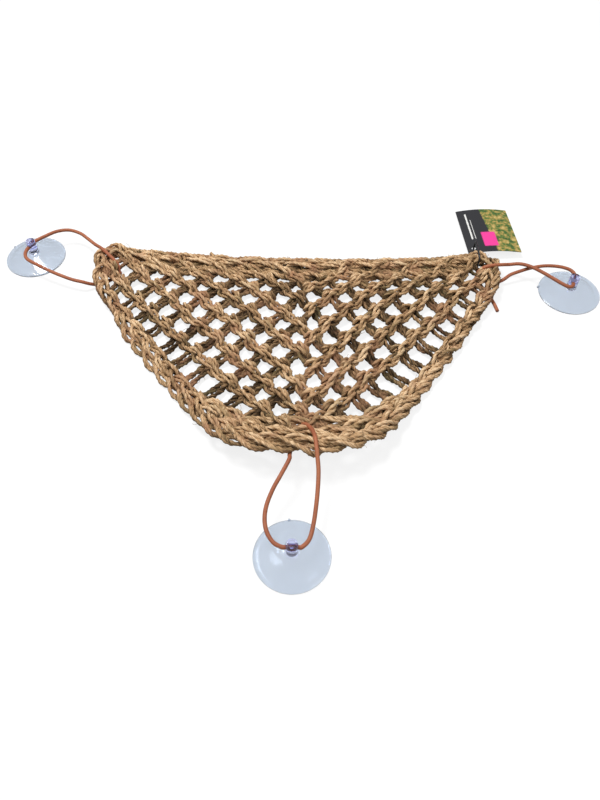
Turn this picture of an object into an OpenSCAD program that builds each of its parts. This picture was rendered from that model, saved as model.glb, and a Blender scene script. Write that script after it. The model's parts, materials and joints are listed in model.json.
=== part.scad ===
// Half-round hammock for a reptile tank, lying on a table with its dished side up.
// Seagrass twine is worked into a diamond net inside a plaited edge. Three leather cord
// loops each carry a clear suction cup, and a card tag is tied to the top edge.

/* [Net outline] */
// Width of the net at its top edge
net_w = 315; // [306:1:320]
// Depth of the net from its top edge to its lip
net_d = 195; // [190:1:199]
// How far below the top edge the sides begin to slope in
shoulder_drop = 46; // [43:1:50]
// How far the shoulders stand in from the top corners
shoulder_in = 4.5; // [2:0.5:8]
// Width of the straight lip at the bottom
lip_w = 85; // [80:1:90]
// How far the lip stands to the right of the middle
lip_shift = 5; // [3:0.5:7]
// Outer radius of the top corners
corner_r = 19; // [17:0.5:20]
// Outer radius of the shoulders
shoulder_r = 58; // [45:1:65]
// Outer radius at each end of the lip
lip_r = 62; // [52:1:66]

/* [Dish] */
// How far the top edge sags at its middle
top_sag = 10; // [0:0.5:12]
// How much higher the left end of the top edge lies than the right end
top_tilt = 10; // [0:0.5:12]
// Depth of the zone that sags and tilts with the top edge
sag_reach = 52; // [40:1:70]
// How far the lip curls up
lip_rise = 20; // [16:0.5:21]
// Depth of the zone that curls up to the lip
lip_reach = 65; // [60:1:70]
// How far the top corners curl up
corner_rise = 5.5; // [5.25:0.25:6.5]
// Width of the zone that curls up to each corner
corner_reach = 56; // [50:1:60]

/* [Twine] */
// Half the width of one gap in the net
mesh_x = 11.9; // [11.5:0.1:12.2]
// Half the depth of one gap in the net
mesh_y = 13; // [12.6:0.1:13.4]
// Width of a bare pair of twines
pair_w = 7; // [6:0.1:7.4]
// Thickness of a bare pair of twines
pair_t = 3.2; // [2.8:0.1:3.6]
// Width of a twined course
course_w = 7.2; // [6:0.1:7.6]
// Thickness of a twined course
course_t = 4.4; // [3.8:0.1:4.8]
// Width of the plaited edge
plait_w = 13; // [12:0.1:13.6]
// Width of the plaited edge at the lip, and of the second row there
lip_plait_w = 9.5; // [8.5:0.1:10]
// Thickness of the plaited edge
plait_t = 5.4; // [4.6:0.1:5.8]
// Width of the cord that binds the net to its top edge
binding_w = 4.4; // [3.6:0.1:5]
// Thickness of the binding cord
binding_t = 4; // [3.4:0.1:4.6]

/* [Cord] */
// Diameter of the leather cord
cord_d = 2.6; // [2.2:0.1:2.8]
// Diameter of the knot that ends each cord
knot_d = 4.8; // [4.2:0.1:5]

/* [Suction cup] */
// Diameter of the cup
cup_d = 45; // [40:0.5:48]
// Width of the flat sealing rim
rim_w = 3; // [2:0.5:4]
// Thickness of the rim's edge
rim_t = 0.9; // [0.6:0.1:1.2]
// Depth of the hollow under the cup
hollow_h = 3.8; // [3:0.1:3.9]
// Wall of the cup beside its post
wall_t = 2.2; // [1.6:0.1:2.6]
// Diameter of the post
post_d = 7; // [6.5:0.1:8]
// Height of the post's top above the rim
post_h = 17; // [16.4:0.1:18]
// Radius of the fillet round the foot of the post
post_fillet = 1.6; // [1:0.1:2]
// Diameter of the cross hole in the post
hole_d = 3.4; // [3.2:0.1:3.8]
// Height of the cross hole above the rim
hole_h = 12.5; // [12:0.1:13]
// Diameter of the moulding pip on the rim
pip_d = 2; // [1.5:0.1:2.5]

/* [Tag] */
// Width of the card
card_w = 42; // [36:1:46]
// Length of the card
card_l = 53; // [46:0.5:60]
// Thickness of the card
card_t = 0.6; // [0.4:0.1:0.8]
// Radius to which the card has curled
card_curl = 110; // [80:5:200]
// Distance of the card's hole from both edges
card_edge = 5; // [4:0.25:5]
// Diameter of the card's hole
card_hole_d = 3.6; // [3.4:0.1:4]
// Thickness of the tie's strand
tie_d = 1.5; // [1.3:0.1:1.6]
// How far the tie stands out from the top edge
tie_out = 5.4; // [5.2:0.1:8]
// Height of the tie
tie_h = 14; // [13.5:0.1:16]

/* [Hidden] */
gap = 0.3;
lip_y = -81;
top_y = lip_y + net_d;
sides = 8;
hex_section = [[1, 0], [0.5, 1], [-0.5, 1], [-1, 0], [-0.5, -1], [0.5, -1]];
plait_step = 6;
straight_step = 9;
corner_steps = 6;
seagrass = "#a9825a";
pale_seagrass = "#b58f63";
leather = "#b5583a";
clear_plastic = [0.72, 0.78, 0.9, 0.6];
tie_black = "#1c1c1e";
card_grey = "#3a3a40";

// Net layout: one crossing of the net is at column 0 and row 0, this far below the top edge
mesh_x0 = 12.2;
mesh_top = 54;
mesh_y0 = top_y - mesh_top;
left_courses = [-11, -9, -7, -5, -3, -1, 1];
right_courses = [9, 7, 5, 3, 1, -1];
left_pairs = [-3, -5, -7, -9, -11, -13];
right_pairs = [3, 5, 7, 9, 11];
course_h = pair_t / 2 + gap + course_t / 2;
plait_h = plait_t / 2 - pair_t / 2;
binding_h = binding_t / 2 - pair_t / 2;
binding_inset = 28;
// Room left for the slanted ends of the pairs beside the edge
end_side = 1.2;
end_level = 3.4;
edge_inset = plait_w + gap;
// The top edge and its binding sag together
sag_flat = edge_inset + binding_w;
side_inset = edge_inset + end_side;
// The lip's second plait lies against the first, up the slope of the lip
lip_slope = 2 * lip_rise * (lip_reach - lip_plait_w) / pow(lip_reach, 2);
lip_pitch = (lip_plait_w + gap) / sqrt(1 + pow(lip_slope, 2));
lip_row_reach = 32;
lip_row_end = 2.6;
narrowing_reach = 24;
lip_inset = lip_plait_w + gap + lip_pitch + end_level + lip_row_end;
top_inset = edge_inset + binding_w + gap + end_level;
outline = [
    [-net_w / 2, top_y],
    [-net_w / 2 + shoulder_in, top_y - shoulder_drop],
    [lip_shift - lip_w / 2, lip_y],
    [lip_shift + lip_w / 2, lip_y],
    [net_w / 2 - shoulder_in, top_y - shoulder_drop],
    [net_w / 2, top_y]
];
outline_r = [corner_r, shoulder_r, lip_r, lip_r, shoulder_r, corner_r];

// Cup places and the turn of each cross hole, in degrees from +X
left_cup_at = [-204, 109];
right_cup_at = [204, 70];
front_cup_at = [-2, -140];
left_hole_turn = 65;
right_hole_turn = 70;
front_hole_turn = 0;
left_pip_turn = 150;
right_pip_turn = 165;
front_pip_turn = 95;
// Half the straight stretch of cord in a cross hole, and the part of it inside the post
neck_reach = 5.5;
neck_inner = 3;

// Cord routes, from the first exit of each loop round its cup to the second exit
left_exits = [[-156, 111.5, 11], [-160, 74, 7.5]];
left_arm_1 = [[-163, 118.5, 10.6], [-170, 124.5, 10.8], [-179, 127.5, 11.5], [-188, 125, 12.3],
    [-196, 119, 12.5]];
left_arm_2 = [[-206.5, 98.5, 12.4], [-203.5, 93.3, 12], [-196, 88.8, 11.2], [-186, 83.3, 10.2],
    [-175, 78.3, 9.2], [-167, 75.5, 8.2]];
right_exits = [[161, 90.5, 9.5], [161, 82.5, 6.5]];
right_arm_1 = [[168, 89, 11.5], [175, 84.5, 13], [183, 77.5, 13.3], [190, 71, 12.9],
    [195.5, 66, 12.6], [199.3, 63.6, 12.5]];
right_arm_2 = [[205.6, 79, 12.5], [202.5, 82.8, 12.3], [196, 86, 11.7], [187, 88, 10.4],
    [177, 87.3, 9], [168, 85, 7.6]];
front_exits = [[12.8, -88, 23], [-4, -88, 20]];
front_arm_1 = [[13.3, -96, 20.5], [12.8, -106, 17.3], [11.6, -117, 14.6], [10, -127, 13],
    [7.6, -135.5, 12.5]];
front_arm_2 = [[-12.3, -137.3, 12.5], [-16, -131.5, 12.7], [-17.6, -124, 13.2], [-16.8, -115.5, 14.5],
    [-13.3, -106, 16.6], [-9, -98, 18.5]];
// Hitch routes, from the first exit over the edge, down through the net and back under the edge
left_hitch_route = [[-151, 106.5, 12.4], [-147, 102.5, 12.8], [-143, 98.5, 12.2], [-138.5, 94.5, 10],
    [-135.5, 91.5, 6.5], [-135.5, 87.5, 3], [-139.5, 83.5, 1.6], [-145, 79.5, 1.4], [-150, 76.8, 2],
    [-155, 75, 4.5]];
left_knot_at = 5;
right_hitch_over = [[156, 88.5, 11.2], [151, 87, 12.3], [146, 86.4, 12.2], [141, 86.4, 10.2],
    [137.5, 85.6, 6.8], [136.6, 82.6, 3.8], [138.8, 75.5, 1.9], [143, 66, 1.4], [145.5, 58, 1.4],
    [147, 50, 1.4]];
right_knot_at = 5;
right_hitch_under = [[141.2, 80.6, 2.2], [146, 79.4, 1.8], [151, 79, 2], [156, 80, 4]];
front_hitch_route = [[12.3, -82.5, 24.8], [11.5, -75.5, 25.6], [9.7, -68, 22.2], [7, -61.5, 17.4],
    [4.6, -57.5, 12.4], [3.6, -56.5, 8.2], [2, -59.5, 5.6], [0, -67, 8], [-2.8, -76, 13.5],
    [-3.7, -83, 17.6]];
front_knot_at = 6;
route_steps = 3;

// Tag place: its hole hangs on the outer side of the tie
tie_from_side = 19.5;
tie_x = net_w / 2 - tie_from_side;
tie_bend = 2.5;
card_z = 6;
card_pitch = 2.5;
card_roll = 0.5;
card_yaw = 3;

// Vectors, curves and swept tubes
function unit(v) = v / norm(v);
function clamp01(t) = max(0, min(1, t));
function ease(t) = let (s = clamp01(t)) s * s * (3 - 2 * s);
function mix(a, b, t) = a + (b - a) * t;
function turned(angle) = [cos(angle), sin(angle)];
function tangents(p) = [for (i = [0:len(p) - 1])
    unit(p[min(i + 1, len(p) - 1)] - p[max(i - 1, 0)])];
function length_to(p, i) = i <= 0 ? 0 : length_to(p, i - 1) + norm(p[i] - p[i - 1]);

// The same line with points about step apart
function evenly(p, step) = let (
        along = [for (i = [0:len(p) - 1]) length_to(p, i)],
        n = ceil(along[len(p) - 1] / step),
        xs = [for (i = [0:len(p) - 1]) [along[i], p[i].x]],
        ys = [for (i = [0:len(p) - 1]) [along[i], p[i].y]]
    ) [for (k = [0:n]) let (s = along[len(p) - 1] * k / n) [lookup(s, xs), lookup(s, ys)]];

// A smooth curve through the points of a route
function curve_point(a, b, c, d, t) = 0.5 * ((2 * b) + (c - a) * t
    + (2 * a - 5 * b + 4 * c - d) * t * t + (3 * b - a - 3 * c + d) * t * t * t);
function smooth_route(p) = let (last = len(p) - 1) concat(
    [for (i = [0:last - 1], k = [0:route_steps - 1])
        curve_point(p[max(i - 1, 0)], p[i], p[i + 1], p[min(i + 2, last)], k / route_steps)],
    [p[last]]);

// Triangles of a tube of m rings with n points each
function tube_faces(m, n) = concat(
    [for (i = [0:m - 2], j = [0:n - 1]) let (a = i * n + j, b = i * n + (j + 1) % n)
        each [[a, b, b + n], [a, b + n, a + n]]],
    [for (j = [1:n - 2]) [0, j + 1, j]],
    [for (j = [1:n - 2]) let (k = (m - 1) * n) [k, k + j, k + j + 1]]);
module tube(rings) {
    polyhedron(points = [for (r = rings) each r], faces = tube_faces(len(rings), len(rings[0])));
}

// Side vectors that turn as little as possible along a route
function next_side(side, t) = unit(side - (side * t) * t);
function side_at(t, i) = i == 0
    ? unit(cross(t[0], abs(t[0].z) > 0.9 ? [1, 0, 0] : [0, 0, 1]))
    : next_side(side_at(t, i - 1), t[i]);
function round_ring(at, t, side, r) = let (up = cross(side, t))
    [for (j = [0:sides - 1]) let (a = 360 * (j + 0.5) / sides) at + r * (cos(a) * side + sin(a) * up)];

// Rings of a round cord with domed ends and a swelling at one point of its route
function cord_rings(route, knot = -1) = let (
        p = smooth_route(route),
        t = tangents(p),
        r = cord_d / 2,
        last = len(p) - 1,
        swell = [for (i = [0:last]) knot < 0 ? 0 : max(0, 1 - pow((i / route_steps - knot) / 0.7, 2))],
        dome = [75, 40]
    ) concat(
        [for (a = dome) round_ring(p[0] - r * sin(a) * t[0], t[0], side_at(t, 0), r * cos(a))],
        [for (i = [0:last]) round_ring(p[i], t[i], side_at(t, i), mix(r, knot_d / 2, swell[i]))],
        [for (k = [1, 0]) let (a = dome[k])
            round_ring(p[last] + r * sin(a) * t[last], t[last], side_at(t, last), r * cos(a))]);

// The net's surface: flat in the middle, curled up at the lip and at the top corners
function sag(x, y) = (top_sag * max(0, 1 - pow(2 * x / net_w, 2)) + top_tilt * x / net_w)
    * ease((y - top_y + sag_reach) / (sag_reach - sag_flat));
function rise(x, y) = lip_rise * pow(max(0, (lip_y + lip_reach - y) / lip_reach), 2)
    + corner_rise * pow(max(0, (abs(x) - net_w / 2 + corner_reach) / corner_reach), 2);
function on_surface(p) = let (y = p.y - sag(p.x, p.y)) [p.x, y, pair_t / 2 + rise(p.x, y)];
function normal_at(p) = let (e = 0.01) unit(cross(
    on_surface(p + [e, 0]) - on_surface(p), on_surface(p + [0, e]) - on_surface(p)));

// Rings of a twine strand that lies at a height over the surface; each point is [x, y, height, w, t]
function strand_rings(spec) = let (
        flat = [for (s = spec) [s[0], s[1]]],
        n = [for (f = flat) normal_at(f)],
        p = [for (i = [0:len(spec) - 1]) on_surface(flat[i]) + spec[i][2] * n[i]],
        t = tangents(p)
    ) [for (i = [0:len(spec) - 1])
        let (side = unit(cross(t[i], n[i])), up = cross(side, t[i]))
        [for (q = hex_section) p[i] + q.x * spec[i][3] / 2 * side + q.y * spec[i][4] / 2 * up]];
function even_strand(line, h, w, t) = [for (p = line) [p.x, p.y, h, w, t]];

// The outline set in by a distance of its own on each edge, with rounded corners
function inward(i) = let (d = unit(outline[(i + 1) % 6] - outline[i])) [-d.y, d.x];
function inset_corner(i, inset) = let (
        a = (i + 5) % 6, b = i, na = inward(a), nb = inward(b),
        ca = na * outline[a] + inset[a], cb = nb * outline[b] + inset[b],
        det = na.x * nb.y - na.y * nb.x
    ) [(ca * nb.y - cb * na.y) / det, (na.x * cb - nb.x * ca) / det];
function corner_arc(before, at, after, r) = let (
        u = unit(before - at), w = unit(after - at),
        half = acos(u * w) / 2,
        centre = at + unit(u + w) * r / sin(half),
        from = at + u * r / tan(half) - centre,
        start = atan2(from.y, from.x),
        swing = 180 - 2 * half
    ) [for (k = [0:corner_steps]) centre + r * turned(start + swing * k / corner_steps)];
function inset_outline(inset) = let (c = [for (i = [0:5]) inset_corner(i, inset)])
    [for (i = [0:5]) each corner_arc(c[(i + 5) % 6], c[i], c[(i + 1) % 6],
        max(2, outline_r[i] - max(inset[i], inset[(i + 5) % 6])))];
half_w = plait_w / 2;
half_lip_w = lip_plait_w / 2;
edge_line = inset_outline([half_w, half_w, half_lip_w, half_w, half_w, half_w]);
// The side plait runs a little way along the top edge at both ends
border_stub = [plait_step + 1, 0];
last_edge = edge_line[len(edge_line) - 1];
border_line = concat([edge_line[0] + border_stub], edge_line, [last_edge - border_stub]);
// The second row follows the lip for a stretch on each side of its middle
row_side = plait_w + gap + half_lip_w;
row_line = [for (p = inset_outline([row_side, row_side, half_lip_w + lip_pitch, row_side, row_side, 0]))
    if (p.y < 0 && abs(p.x - lip_shift) < lip_row_reach) p];
net_limit = inset_outline([side_inset, side_inset, lip_inset, side_inset, side_inset, top_inset]);

// Where a straight line p + k * d enters and leaves a convex outline
function crossings(p, d, limit, sign) = [for (i = [0:len(limit) - 1]) let (
        a = limit[i], b = limit[(i + 1) % len(limit)], n = [a.y - b.y, b.x - a.x], slope = n * d)
    if (norm(n) > 0.001 && sign * slope > 0.001) n * (a - p) / slope];
function enters(p, d, limit) = max(crossings(p, d, limit, 1));
function leaves(p, d, limit) = min(crossings(p, d, limit, -1));

// A cord of the net: lean is 1 where it falls to the right and -1 where it rises to the right.
// It is a twined course on its own side of the middle and a bare pair under the others beyond it.
function net_cord(lean, m, twined) = let (
        p = [mesh_x0 + mesh_x * m, mesh_y0],
        d = [lean * mesh_x, -mesh_y],
        from = enters(p, d, net_limit),
        to = leaves(p, d, net_limit),
        steps = concat([from], [for (q = [ceil(4 * from + 0.8):floor(4 * to - 0.8)])
            let (column = m + lean * q / 4)
            if (q % 2 == 0 || (column > -1 && column < 0)) q / 4], [to])
    ) [for (k = steps) let (
            column = m + lean * k,
            beyond = ease((column + 0.75) * 2),
            up = twined ? (lean > 0 ? 1 - beyond : beyond) : 0
        ) [p.x + d.x * k, p.y + d.y * k, course_h * up,
            mix(pair_w, course_w, up), mix(pair_t, course_t, up)]];

// The net's edge
// The side plait draws in towards the lip
function border_w(p) = mix(lip_plait_w, plait_w, ease((p.y - lip_y - half_lip_w) / narrowing_reach));
module border_plait() {
    line = evenly(border_line, plait_step);
    color(seagrass) tube(strand_rings([for (p = line) [p.x, p.y, plait_h, border_w(p), plait_t]]));
}
module straight_strand(from, to, h, w, t) {
    color(seagrass) tube(strand_rings(even_strand(evenly([from, to], straight_step), h, w, t)));
}
module lip_plait() {
    line = evenly(row_line, plait_step);
    color(seagrass) tube(strand_rings(even_strand(line, plait_h, lip_plait_w, plait_t)));
}
module top_plait() {
    from = border_line[0] + [gap, 0];
    to = border_line[len(border_line) - 1] - [gap, 0];
    straight_strand(from, to, plait_h, plait_w, plait_t);
}
module top_binding_cord() {
    reach = net_w / 2 - binding_inset;
    y = top_y - edge_inset - binding_w / 2;
    straight_strand([-reach, y], [reach, y], binding_h, binding_w, binding_t);
}

// The net inside its edge
module left_course(i) {
    color(pale_seagrass) tube(strand_rings(net_cord(1, left_courses[i - 1], true)));
}
module right_course(i) {
    color(pale_seagrass) tube(strand_rings(net_cord(-1, right_courses[i - 1], true)));
}
module left_cross_pairs() {
    color(seagrass) for (m = left_pairs) tube(strand_rings(net_cord(-1, m, false)));
}
module right_cross_pairs() {
    color(seagrass) for (m = right_pairs) tube(strand_rings(net_cord(1, m, false)));
}

// Leather cords: a loop turns about the line through its two exits, clear of its hitch by one gap
function neck(at, turn) = let (d = turned(turn)) [for (s = [1, -1]) [for (k = [neck_reach, neck_inner])
    [at.x + s * k * d.x, at.y + s * k * d.y, hole_h]]];
function loop_route(exits, arm_1, arm_2, first, second) = concat([exits[0]], arm_1,
    [first[0], first[1], second[1], second[0]], arm_2, [exits[1]]);
// The end of a hitch stands off its exit, so that the domed ends clear each other
function stand_off(exit, next) = exit + unit(next - exit) * (cord_d + gap);
function hitch_route(exits, route) = concat([stand_off(exits[0], route[0])], route,
    [stand_off(exits[1], route[len(route) - 1])]);

module left_loop() {
    n = neck(left_cup_at, left_hole_turn);
    color(leather) tube(cord_rings(loop_route(left_exits, left_arm_1, left_arm_2, n[0], n[1])));
}
module right_loop() {
    n = neck(right_cup_at, right_hole_turn);
    color(leather) tube(cord_rings(loop_route(right_exits, right_arm_1, right_arm_2, n[1], n[0])));
}
module front_loop() {
    n = neck(front_cup_at, front_hole_turn);
    color(leather) tube(cord_rings(loop_route(front_exits, front_arm_1, front_arm_2, n[0], n[1])));
}
module left_hitch() {
    color(leather) tube(cord_rings(hitch_route(left_exits, left_hitch_route), left_knot_at + 1));
}
module right_hitch() {
    over = concat([stand_off(right_exits[0], right_hitch_over[0])], right_hitch_over);
    under = concat(right_hitch_under, [stand_off(right_exits[1], right_hitch_under[3])]);
    color(leather) {
        tube(cord_rings(over, right_knot_at + 1));
        tube(cord_rings(under));
    }
}
module front_hitch() {
    color(leather) tube(cord_rings(hitch_route(front_exits, front_hitch_route), front_knot_at + 1));
}

// A suction cup with its rim on the table and a cross hole through its post
module cup_profile() {
    r = cup_d / 2;
    post_r = post_d / 2;
    dome_h = hollow_h + wall_t;
    foot = post_r + post_fillet;
    fillet = [for (a = [0:15:90]) [foot - post_fillet * sin(a), dome_h + post_fillet * (1 - cos(a))]];
    top_round = post_r / 4;
    crown = [for (a = [0:15:90]) [post_r - top_round * (1 - cos(a)), post_h - top_round * (1 - sin(a))]];
    hollow = [for (k = [0:0.125:1]) [(r - rim_w) * k, hollow_h * (1 - k * k)]];
    polygon(concat(hollow, [[r, 0], [r, rim_t]], fillet, crown, [[0, post_h]]));
}
module suction_cup(at, hole_turn, pip_turn) {
    color(clear_plastic) translate([at.x, at.y, 0]) {
        difference() {
            rotate_extrude($fn = 96) cup_profile();
            translate([0, 0, hole_h]) rotate([0, 90, hole_turn])
                cylinder(d = hole_d, h = 2 * post_d, center = true, $fn = 32);
        }
        rotate(pip_turn) translate([cup_d / 2, 0, 0]) cylinder(d = pip_d, h = rim_t, $fn = 24);
    }
}
module left_cup() { suction_cup(left_cup_at, left_hole_turn, left_pip_turn); }
module right_cup() { suction_cup(right_cup_at, right_hole_turn, right_pip_turn); }
module front_cup() { suction_cup(front_cup_at, front_hole_turn, front_pip_turn); }

// A card that has curled about its length, hanging by one corner on a plastic tie
tie_edge = round(10 * on_surface([tie_x, top_y]).y) / 10;
tie_far = tie_edge + tie_out;
module tie_side(from, to) {
    d = unit(to - from);
    translate(from + d * tie_bend) rotate([0, 0, atan2(d.y, d.x)]) rotate([0, 90, 0])
        cylinder(d = tie_d, h = norm(to - from) - 2 * tie_bend, $fn = 16);
}
module tie_corner(at, turn) {
    translate(at) rotate(turn)
        rotate_extrude(angle = 90, $fn = 48) translate([tie_bend, 0]) circle(d = tie_d, $fn = 16);
}
module tag_tie() {
    near = tie_edge - plait_w - gap - tie_d;
    low = round(10 * (rise(tie_x, tie_edge) - gap - tie_d / 2)) / 10;
    b = tie_bend;
    color(tie_black) translate([tie_x, 0, 0]) rotate([90, 0, 90]) {
        tie_side([near, low], [tie_far, low]);
        tie_corner([tie_far - b, low + b], 270);
        tie_side([tie_far, low], [tie_far, tie_h]);
        tie_corner([tie_far - b, tie_h - b], 0);
        tie_side([tie_far, tie_h], [near, tie_h]);
        tie_corner([near + b, tie_h - b], 90);
        tie_side([near, tie_h], [near, low]);
        tie_corner([near + b, low + b], 180);
    }
}
module card_sheet() {
    middle = card_w / 2 - card_edge;
    half_angle = asin(card_w / 2 / card_curl);
    hole_angle = asin(middle / card_curl);
    drop = card_curl * cos(hole_angle);
    intersection() {
        translate([middle, -card_edge, -drop]) rotate([-90, 0, 0]) rotate([0, 0, -90 - half_angle])
            linear_extrude(card_l) difference() {
                circle(r = card_curl, $fn = 180);
                circle(r = card_curl - card_t, $fn = 180);
            }
        translate([-card_edge, -card_edge, -card_curl / 2]) cube([card_w, card_l, card_curl]);
    }
}
module tag_card() {
    color(card_grey) translate([tie_x, tie_far, card_z]) rotate([-card_pitch, card_roll, card_yaw])
        difference() {
            card_sheet();
            cylinder(d = card_hole_d, h = 4 * card_edge, center = true, $fn = 32);
        }
}

border_plait();
lip_plait();
top_plait();
top_binding_cord();
for (i = [1:7]) left_course(i);
for (i = [1:6]) right_course(i);
left_cross_pairs();
right_cross_pairs();
left_hitch();
right_hitch();
front_hitch();
left_loop();
right_loop();
front_loop();
left_cup();
right_cup();
front_cup();
tag_tie();
tag_card();
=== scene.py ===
import json
import math

import bmesh
import bpy
import numpy as np
from mathutils import Euler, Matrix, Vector

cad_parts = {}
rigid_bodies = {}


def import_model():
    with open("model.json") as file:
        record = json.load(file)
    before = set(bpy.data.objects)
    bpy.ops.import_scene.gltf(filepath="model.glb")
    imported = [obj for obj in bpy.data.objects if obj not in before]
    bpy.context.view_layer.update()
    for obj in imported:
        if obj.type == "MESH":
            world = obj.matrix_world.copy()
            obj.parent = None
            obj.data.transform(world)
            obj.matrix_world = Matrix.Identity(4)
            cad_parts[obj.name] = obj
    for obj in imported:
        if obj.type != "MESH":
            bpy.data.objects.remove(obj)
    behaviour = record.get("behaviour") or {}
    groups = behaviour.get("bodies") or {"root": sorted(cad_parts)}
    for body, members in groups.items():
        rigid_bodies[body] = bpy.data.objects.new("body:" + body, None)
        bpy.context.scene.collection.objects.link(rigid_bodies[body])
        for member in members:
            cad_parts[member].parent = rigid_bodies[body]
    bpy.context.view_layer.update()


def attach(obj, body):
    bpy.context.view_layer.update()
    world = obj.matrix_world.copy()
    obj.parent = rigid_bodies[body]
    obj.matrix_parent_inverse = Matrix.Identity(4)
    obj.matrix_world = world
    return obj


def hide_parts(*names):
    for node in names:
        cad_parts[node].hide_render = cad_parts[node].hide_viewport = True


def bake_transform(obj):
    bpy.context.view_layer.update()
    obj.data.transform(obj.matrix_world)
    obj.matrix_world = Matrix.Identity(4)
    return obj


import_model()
scene = bpy.context.scene
scene.view_settings.view_transform = "Standard"

# Camera
# The picture was taken from in front and above, with the table's far edge out of view.
# The lens is given by its focal length in pixels of an image 800 high.
IMAGE_HEIGHT = 800
FOCAL_PIXELS = 686
CAMERA_PLACE = (0.0025, -0.299, 0.368)
CAMERA_DIP = 53.8

lens = bpy.data.cameras.new("camera")
lens.sensor_fit = "VERTICAL"
lens.sensor_height = 36
lens.lens = FOCAL_PIXELS / IMAGE_HEIGHT * lens.sensor_height
lens.clip_start = 0.01
camera = bpy.data.objects.new("camera", lens)
camera.location = CAMERA_PLACE
camera.rotation_euler = (math.radians(90 - CAMERA_DIP), 0, 0)
scene.collection.objects.link(camera)
scene.camera = camera

# Leather cords
# Three lengths of round leather cord, dyed terracotta. Each is led over the plaited edge, down through
# the net and back under the edge, and is knotted under the net. One end of the right cord is left bare.
MM = 0.001
FULL_TURN = 2 * math.pi
CORD_D, CORD_SIDES = 2.6, 12
ROUTE_STEPS = 8
KNOT_SIZE, KNOT_LOOP, KNOT_DEPTH = 0.58, 1.7, 0.9
KNOT_STRAND_R, KNOT_SIDES, KNOT_STEPS = 1.0, 8, 60
HOLE_H = 12.5
DARK_LEATHER = (0.23, 0.062, 0.028)
TERRACOTTA = (0.36, 0.115, 0.052)
WORN_LEATHER = (0.47, 0.175, 0.086)


class Wire:
    """A socket of a node tree that takes part in sums; each operation adds a Math node."""

    def __init__(self, tree, socket):
        self.tree = tree
        self.socket = socket

    def other(self, name):
        """Another output of the same node."""
        return Wire(self.tree, self.socket.node.outputs[name])

    def maths(self, operation, *terms):
        return node(self.tree, "ShaderNodeMath", dict(enumerate(terms)), operation=operation)

    def cosine(self):
        return self.maths("COSINE", self)

    def sine(self):
        return self.maths("SINE", self)

    def larger(self, other):
        return self.maths("MAXIMUM", self, other)

    def __add__(self, other):
        return self.maths("ADD", self, other)

    def __sub__(self, other):
        return self.maths("SUBTRACT", self, other)

    def __mul__(self, other):
        return self.maths("MULTIPLY", self, other)

    def __truediv__(self, other):
        return self.maths("DIVIDE", self, other)

    def __radd__(self, other):
        return self.maths("ADD", other, self)

    def __rsub__(self, other):
        return self.maths("SUBTRACT", other, self)

    def __rmul__(self, other):
        return self.maths("MULTIPLY", other, self)


def node(tree, kind, inputs=None, output=0, stops=None, **settings):
    """Adds a node, sets it up, feeds its sockets and returns one of its outputs."""
    made = tree.nodes.new(kind)
    for name, value in settings.items():
        setattr(made, name, value)
    if stops:
        ramp = made.color_ramp.elements
        while len(ramp) < len(stops):
            ramp.new(0.5)
        for element, (place, colour) in zip(ramp, stops):
            element.position = place
            element.color = (*colour, 1)
    for name, value in (inputs or {}).items():
        for part in value if isinstance(value, list) else [value]:
            if isinstance(part, Wire):
                tree.links.new(part.socket, made.inputs[name])
            else:
                made.inputs[name].default_value = part
    return Wire(tree, made.outputs[output]) if made.outputs else None


def new_finish(name):
    """An empty material, with its node tree."""
    finish = bpy.data.materials.new(name)
    finish.use_nodes = True
    finish.node_tree.nodes.clear()
    return finish, finish.node_tree


def surface_shader(tree, inputs):
    """Ends a material in one Principled shader."""
    shader = node(tree, "ShaderNodeBsdfPrincipled", inputs)
    node(tree, "ShaderNodeOutputMaterial", {"Surface": shader})


def attribute(tree, name):
    """A value that the mesh carries, which is the third output."""
    return node(tree, "ShaderNodeAttribute", output=2, attribute_name=name)


def vector(tree, x, y, z):
    return node(tree, "ShaderNodeCombineXYZ", {0: x, 1: y, 2: z})


def noise(tree, place, scale=1.0, detail=2, roughness=0.55):
    return node(tree, "ShaderNodeTexNoise",
                {"Vector": place, "Scale": scale, "Detail": detail, "Roughness": roughness})


def shades(tree, value, stops):
    """A colour that goes from stop to stop as a value rises."""
    return node(tree, "ShaderNodeValToRGB", {"Fac": value}, stops=stops)


def bumped(tree, height, distance, strength):
    return node(tree, "ShaderNodeBump", {"Height": height, "Distance": distance, "Strength": strength})


def plain_mesh(built):
    """A plain mesh of what was built."""
    mesh = bpy.data.meshes.new("plain")
    built.to_mesh(mesh)
    built.free()
    return mesh


def show(name, mesh, finish, smooth=True):
    """An object for a finished mesh."""
    mesh.name = name
    mesh.materials.clear()
    mesh.materials.append(finish)
    for face in mesh.polygons:
        face.use_smooth = smooth
    piece = bpy.data.objects.new(name, mesh)
    scene.collection.objects.link(piece)
    return piece


def smooth_route(points, steps):
    """A smooth curve through a list of points, in the units of the points."""
    p = np.array(points, float)
    p = np.vstack([p[:1], p, p[-1:]])
    out = []
    for a, b, c, d in zip(p, p[1:], p[2:], p[3:]):
        for t in np.arange(steps) / steps:
            out.append(0.5 * (2 * b + (c - a) * t + (2 * a - 5 * b + 4 * c - d) * t**2
                              + (3 * b - a - 3 * c + d) * t**3))
    return np.array(out + [p[-1]])


def unit(v):
    return v / np.maximum(np.linalg.norm(v, axis=-1, keepdims=True), 1e-12)


def distances(p):
    """How far along a line each of its points lies."""
    return np.concatenate([[0], np.cumsum(np.linalg.norm(np.diff(p, axis=0), axis=1))])


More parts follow.
